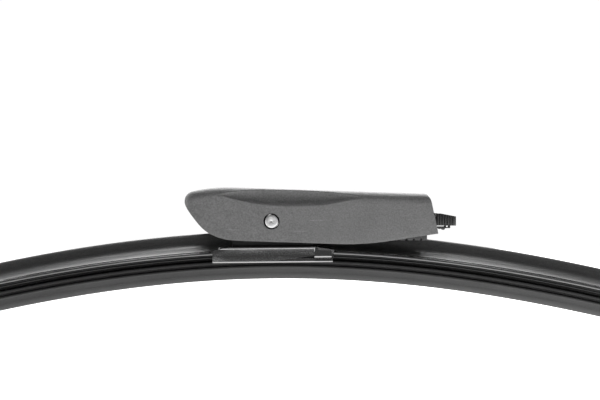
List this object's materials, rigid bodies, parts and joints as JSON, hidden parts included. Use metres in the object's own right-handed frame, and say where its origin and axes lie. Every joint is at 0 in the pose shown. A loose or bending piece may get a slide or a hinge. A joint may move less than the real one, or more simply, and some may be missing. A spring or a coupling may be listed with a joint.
{
  "type": "windshield wiper blade",
  "caption": "Flat bowed windshield wiper blade: rubber lip on twin steel rails, hollow-faced spoiler, centre clamp and a pivoting arm connector with squeeze tabs.",
  "frame": {"origin": "centre of the pivot pin, where the wiper arm's connector carries the blade", "axes": "+X along the blade towards the connector's open end, -Y the side the spoiler's hollow face looks at, +Z away from the windscreen"},
  "size_m": [0.5426, 0.0218, 0.0966],
  "materials": {
    "housing_plastic": "fine spark-eroded grain, mid grey",
    "insert_plastic": "moulded dark grey",
    "rubber": "extruded black rubber",
    "spoiler": "smooth extruded black elastomer, soft sheen",
    "rail_steel": "black coated spring steel",
    "clamp_steel": "glossy black coated sheet steel",
    "pin_steel": "bright turned steel"
  },
  "bodies": {
    "connector": {"housing": "housing_plastic", "arm_insert": "insert_plastic", "pivot_bush_front": "insert_plastic", "pivot_bush_rear": "insert_plastic", "stop_pad": "insert_plastic"},
    "blade": {"wiper_element": "rubber", "rail_front": "rail_steel", "rail_rear": "rail_steel", "spoiler_left": "spoiler", "spoiler_right": "spoiler", "end_cap_left": "spoiler", "end_cap_right": "spoiler", "rail_clip_left": "pin_steel", "rail_clip_right": "pin_steel", "centre_clamp": "clamp_steel", "pivot_saddle": "clamp_steel", "saddle_rivet_left": "pin_steel", "saddle_rivet_right": "pin_steel", "pivot_rivet": "pin_steel", "pivot_washer_front": "pin_steel", "pivot_washer_rear": "pin_steel"},
    "tab_front": {"squeeze_tab_front": "insert_plastic"},
    "tab_rear": {"squeeze_tab_rear": "insert_plastic"}
  },
  "joints": [
    {"name": "blade_pivot", "type": "hinge", "parent": "connector", "child": "blade", "pos_m": [0, 0, 0], "axis": [0, 1, 0], "range_deg": [-2.5, 9]},
    {"name": "tab_front_squeeze", "type": "hinge", "parent": "connector", "child": "tab_front", "pos_m": [0.028, -0.00405, 0], "axis": [0, 0, 1], "range_deg": [0, 3.5], "stiffness_Nm_per_rad": 0.5},
    {"name": "tab_rear_squeeze", "type": "hinge", "parent": "connector", "child": "tab_rear", "pos_m": [0.028, 0.00405, 0], "axis": [0, 0, -1], "range_deg": [0, 3.5], "stiffness_Nm_per_rad": 0.5}
  ]
}
